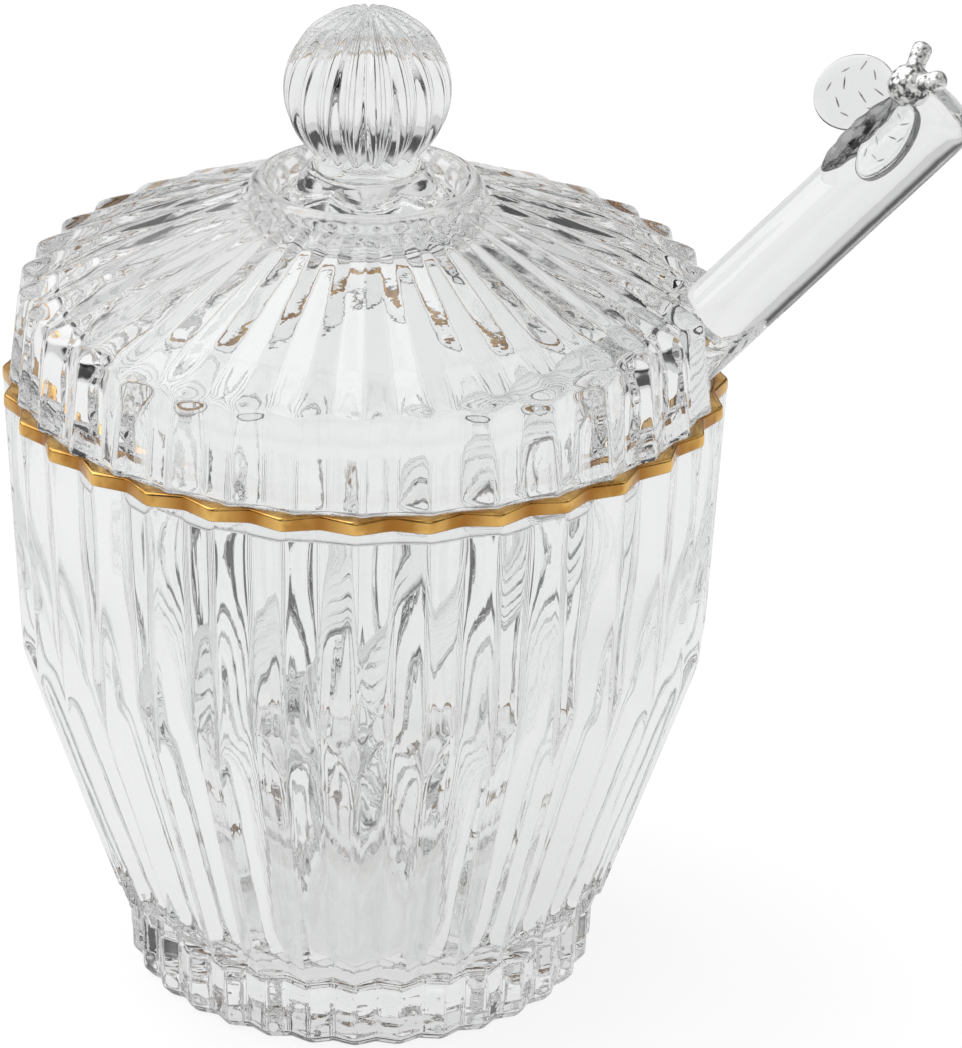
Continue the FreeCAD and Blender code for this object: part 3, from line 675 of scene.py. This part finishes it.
def metalMaterial(name, values, shade=None):
    # colour, gloss and small dents from one noise; a piece's own attribute may paint shade into
    # the colour
    material, nodes, links = newMaterial(name)
    out = nodes.new("ShaderNodeOutputMaterial")
    shader = nodes.new("ShaderNodeBsdfPrincipled")
    shader.inputs["Metallic"].default_value = 1.0
    place = nodes.new("ShaderNodeTexCoord")
    noise = noiseNode(nodes, links, place.outputs["Object"], values["scale"], 3.0)
    ramp = nodes.new("ShaderNodeValToRGB")
    for element, position, key in zip(ramp.color_ramp.elements, (0.36, 0.52), ("deep", "bright")):
        element.position = position
        element.color = values[key] + (1.0,)
    links.new(noise, ramp.inputs["Fac"])
    colour = ramp.outputs["Color"]
    if shade:
        mark = nodes.new("ShaderNodeAttribute")
        mark.attribute_name = shade
        # painted shade: the colour is mixed toward a darker one where the attribute is high
        paintShade = nodes.new("ShaderNodeMix")
        paintShade.data_type = "RGBA"
        links.new(mark.outputs["Fac"], paintShade.inputs["Factor"])
        links.new(colour, paintShade.inputs["A"])
        paintShade.inputs["B"].default_value = values[shade] + (1.0,)
        colour = paintShade.outputs["Result"]
    links.new(colour, shader.inputs["Base Color"])
    gloss = rangeNode(nodes, links, noise, 0.0, 1.0, values["rough"], values["glossy"])
    links.new(gloss, shader.inputs["Roughness"])
    dents = bumpNode(nodes, links, noise, values["dents"], 0.0003)
    links.new(dents.outputs["Normal"], shader.inputs["Normal"])
    links.new(shader.outputs["BSDF"], out.inputs["Surface"])
    return material


def finish(piece, material, slotName, *nodes):
    piece.data.materials.clear()
    piece.data.materials.append(material)
    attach(piece, "root")
    if nodes:
        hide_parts(*nodes)


finish(jar, glassMaterial("jarGlassFinish", jarFinish), "clear_glass", "jar")
finish(lid, glassMaterial("lidGlassFinish", lidFinish), "clear_glass", "lid")
finish(dipper, glassMaterial("dipperGlassFinish", dipperFinish), "dipper_glass", "dipper")
# the gilding gets painted shade in its flute valleys
finish(gilt, metalMaterial("gilding", giltFinish, "valley"), "gilding", "gilt_rim")
finish(veins, metalMaterial("etchedStroke", etchedFinish), "dipper_glass")
finish(beeBody, glassMaterial("smokedGlass", smokedFinish), "dipper_glass")
finish(beeHead, metalMaterial("castSilver", silverFinish), "silver_metal", "bee")


studio = {
    "floor": 0.92, "floorShow": 0.88, "floorInGlass": 0.80, "floorHeight": -0.0002, "wide": 3.0,
    "room": 0.66,
    # the room as glass and metal see it, by the height of the direction
    "levels": ((0.0, 0.80), (0.04, 0.06), (0.2, 0.06), (0.32, 0.82), (0.6, 0.9), (1.0, 1.0)),
    "bands": 4.0, "bandTurn": 0.7, "bandEdge": -0.5, "bandDeep": -0.92, "bandFoot": 0.06,
    "panel": 0.8, "panelToward": (-0.58, 0.81, -1.5), "panelStart": 0.76, "panelFull": 0.9,
    "topPower": 13.0, "topSize": 1.0, "topPlace": (-0.25, 0.1, 1.3), "topAim": (0, 0, 0.05),
    "sidePower": 7.0, "sideSize": 1.2, "sidePlace": (-0.62, 0.15, 0.75), "sideAim": (0, 0, 0.08),
}


def lightPathMask(nodes, links, inGlass=1.0):
    # 1 for camera rays, inGlass for glossy and transmission rays, 0 for the rest
    path = nodes.new("ShaderNodeLightPath")
    either = mathNode(nodes, links, "MAXIMUM", path.outputs["Is Transmission Ray"],
                      path.outputs["Is Glossy Ray"])
    dimmed = mathNode(nodes, links, "MULTIPLY", either, inGlass)
    return mathNode(nodes, links, "MAXIMUM", dimmed, path.outputs["Is Camera Ray"])


def makeFloor(s):
    half = 0.5 * s["wide"]
    corners = ((-half, -half), (half, -half), (half, half), (-half, half))
    floor = newPiece("floor", [corner + (s["floorHeight"],) for corner in corners],
                     [(0, 1, 2, 3)])
    material, nodes, links = newMaterial("paleFloor")
    out = nodes.new("ShaderNodeOutputMaterial")
    mix = nodes.new("ShaderNodeMixShader")
    diffuse = nodes.new("ShaderNodeBsdfDiffuse")
    diffuse.inputs["Color"].default_value = (s["floor"],) * 3 + (1.0,)
    glow = nodes.new("ShaderNodeEmission")
    links.new(lightPathMask(nodes, links, s["floorInGlass"]), glow.inputs["Strength"])
    share = mathNode(nodes, links, "MULTIPLY", lightPathMask(nodes, links), s["floorShow"])
    links.new(share, mix.inputs["Fac"])
    links.new(diffuse.outputs["BSDF"], mix.inputs[1])
    links.new(glow.outputs["Emission"], mix.inputs[2])
    links.new(mix.outputs["Shader"], out.inputs["Surface"])
    floor.data.materials.append(material)


def makeWorld(s):
    # a soft white room: even as a light, white behind the object, and for glass and metal
    # pale low down, dark just above the horizon and pale overhead, with four tall dark bands
    world = bpy.data.worlds.new("studioRoom")
    bpy.context.scene.world = world
    world.use_nodes = True
    nodes, links = world.node_tree.nodes, world.node_tree.links
    nodes.clear()
    out = nodes.new("ShaderNodeOutputWorld")
    place = nodes.new("ShaderNodeTexCoord")
    split = nodes.new("ShaderNodeSeparateXYZ")
    links.new(place.outputs["Generated"], split.inputs["Vector"])
    rise = nodes.new("ShaderNodeValToRGB")
    rise.color_ramp.interpolation = "EASE"
    elements = rise.color_ramp.elements
    for position, _ in s["levels"][1:-1]:
        elements.new(position)
    for element, (position, value) in zip(elements, s["levels"]):
        element.position = position
        element.color = (value, value, value, 1)
    links.new(split.outputs["Z"], rise.inputs["Fac"])
    # a band where the sine of so many times the turn about the upright axis is low
    turn = mathNode(nodes, links, "ARCTAN2", split.outputs["Y"], split.outputs["X"])
    wave = mathNode(nodes, links, "MULTIPLY_ADD", turn, s["bands"], s["bandTurn"])
    sine = mathNode(nodes, links, "SINE", wave)
    band = rangeNode(nodes, links, sine, s["bandDeep"], s["bandEdge"], s["bandDeep"], 0.0,
                     "SMOOTHSTEP")
    above = rangeNode(nodes, links, split.outputs["Z"], 0.0, s["bandFoot"])
    dip = mathNode(nodes, links, "MULTIPLY_ADD", band, above, 1.0)
    seen = mathNode(nodes, links, "MULTIPLY", rise.outputs["Color"], dip)
    # a pale panel low behind the left side, fading out upward
    toward = vectorNode(nodes, links, "DOT_PRODUCT", "Value", place.outputs["Generated"],
                        s["panelToward"])
    panel = rangeNode(nodes, links, toward, s["panelStart"], s["panelFull"], 0.0, s["panel"])
    light = nodes.new("ShaderNodeBackground")
    light.inputs["Color"].default_value = (1, 1, 1, 1)
    light.inputs["Strength"].default_value = s["room"]
    show = nodes.new("ShaderNodeBackground")
    links.new(mathNode(nodes, links, "MAXIMUM", seen, panel), show.inputs["Strength"])
    mix = nodes.new("ShaderNodeMixShader")
    links.new(lightPathMask(nodes, links), mix.inputs["Fac"])
    links.new(light.outputs["Background"], mix.inputs[1])
    links.new(show.outputs["Background"], mix.inputs[2])
    white = nodes.new("ShaderNodeBackground")
    white.inputs["Strength"].default_value = 1.0
    path = nodes.new("ShaderNodeLightPath")
    last = nodes.new("ShaderNodeMixShader")
    links.new(path.outputs["Is Camera Ray"], last.inputs["Fac"])
    links.new(mix.outputs["Shader"], last.inputs[1])
    links.new(white.outputs["Background"], last.inputs[2])
    links.new(last.outputs["Shader"], out.inputs["Surface"])


def areaLamp(name, power, size, place, aim, reflected=False):
    # a square softbox that glass never shows through itself
    lamp = bpy.data.lights.new(name, "AREA")
    lamp.shape = "SQUARE"
    lamp.size = size
    lamp.energy = power
    holder = bpy.data.objects.new(name, lamp)
    bpy.context.scene.collection.objects.link(holder)
    holder.location = place
    holder.rotation_euler = (Vector(aim) - Vector(place)).to_track_quat("-Z", "Y").to_euler()
    holder.visible_glossy = reflected
    holder.visible_transmission = False


makeFloor(studio)
makeWorld(studio)
areaLamp("topSoftbox", studio["topPower"], studio["topSize"], studio["topPlace"],
         studio["topAim"])
areaLamp("sideSoftbox", studio["sidePower"], studio["sideSize"], studio["sidePlace"],
         studio["sideAim"], True)


view = {"rise": 24.778, "away": 767.8, "roll": 0.988, "aim": (14.989, 0.0, 60.349),
        "lens": 224.3526, "sensor": 36.0}


def makeCamera(v):
    # looks along +Y and down, turned a little about its own axis
    rise, roll = math.radians(v["rise"]), math.radians(v["roll"])
    forward = Vector((0, math.cos(rise), -math.sin(rise)))
    up = Vector((0, math.sin(rise), math.cos(rise)))
    right = Vector((1, 0, 0))
    axisX = math.cos(roll) * right + math.sin(roll) * up
    axisY = -math.sin(roll) * right + math.cos(roll) * up
    place = (Vector(v["aim"]) - forward * v["away"]) * 0.001
    data = bpy.data.cameras.new("camera")
    data.sensor_fit = "HORIZONTAL"
    data.sensor_width = v["sensor"]
    data.lens = v["lens"]
    data.clip_start = 0.01
    data.clip_end = 50.0
    camera = bpy.data.objects.new("camera", data)
    bpy.context.scene.collection.objects.link(camera)
    camera.matrix_world = Matrix((
        (axisX.x, axisY.x, -forward.x, place.x), (axisX.y, axisY.y, -forward.y, place.y),
        (axisX.z, axisY.z, -forward.z, place.z), (0, 0, 0, 1)))
    bpy.context.scene.camera = camera


makeCamera(view)
scene = bpy.context.scene
scene.view_settings.view_transform = "Standard"
scene.cycles.glossy_bounces = 16
scene.cycles.transmission_bounces = 22
scene.cycles.max_bounces = 22
print("studio and camera set")
